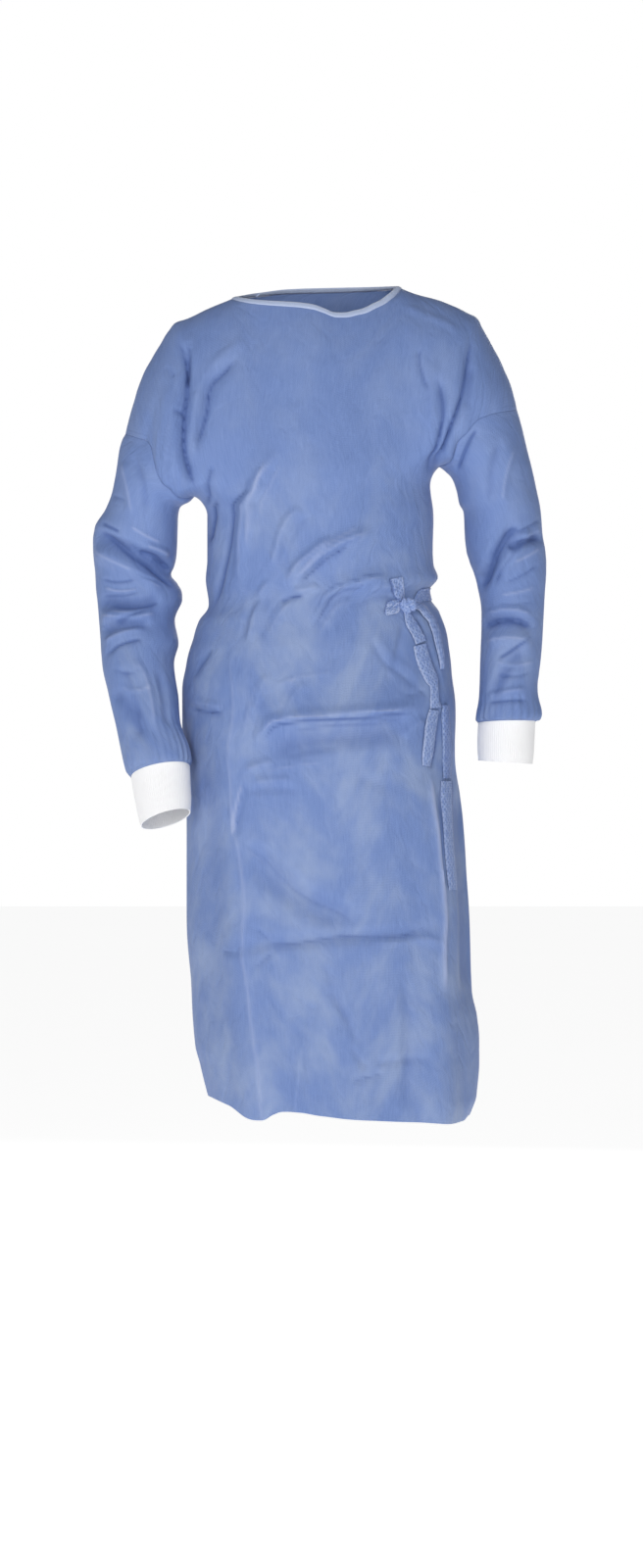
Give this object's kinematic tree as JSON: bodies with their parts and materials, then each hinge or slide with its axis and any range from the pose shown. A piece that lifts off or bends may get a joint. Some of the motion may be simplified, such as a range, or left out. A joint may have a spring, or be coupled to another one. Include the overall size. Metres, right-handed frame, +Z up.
{
  "type": "surgical gown",
  "caption": "Worn wraparound surgical gown: hollow front, lapped back flaps, long sleeves, white knit cuffs, pale neck binding and a waist tie.",
  "frame": {"origin": "between the shoulders at the base of the neck, where the wearer's shoulders hold the gown", "axes": "+X to the wearer's left, +Y to the wearer's back, +Z up"},
  "size_m": [0.6167, 0.2822, 1.1378],
  "materials": {
    "blue_nonwoven": "matt spunbond nonwoven",
    "blue_tie_nonwoven": "matt embossed nonwoven",
    "pale_binding": "matt bias binding",
    "white_rib_knit": "matt rib knit"
  },
  "bodies": {
    "root": {"front_panel": "blue_nonwoven", "back_panel_outer": "blue_nonwoven", "back_panel_inner": "blue_nonwoven", "sleeve_right": "blue_nonwoven", "sleeve_left": "blue_nonwoven", "cuff_right": "white_rib_knit", "cuff_left": "white_rib_knit", "neck_binding": "pale_binding", "neck_tab": "blue_tie_nonwoven", "waist_belt": "blue_tie_nonwoven", "tie_knot": "blue_tie_nonwoven", "tie_loop": "blue_tie_nonwoven", "tie_patch": "blue_tie_nonwoven", "tie_end_short": "blue_tie_nonwoven", "tie_end_curved": "blue_tie_nonwoven", "tie_end_front": "blue_tie_nonwoven", "tie_end_low_front": "blue_tie_nonwoven", "tie_end_low_side": "blue_tie_nonwoven", "tie_end_side": "blue_tie_nonwoven"}
  },
  "joints": []
}
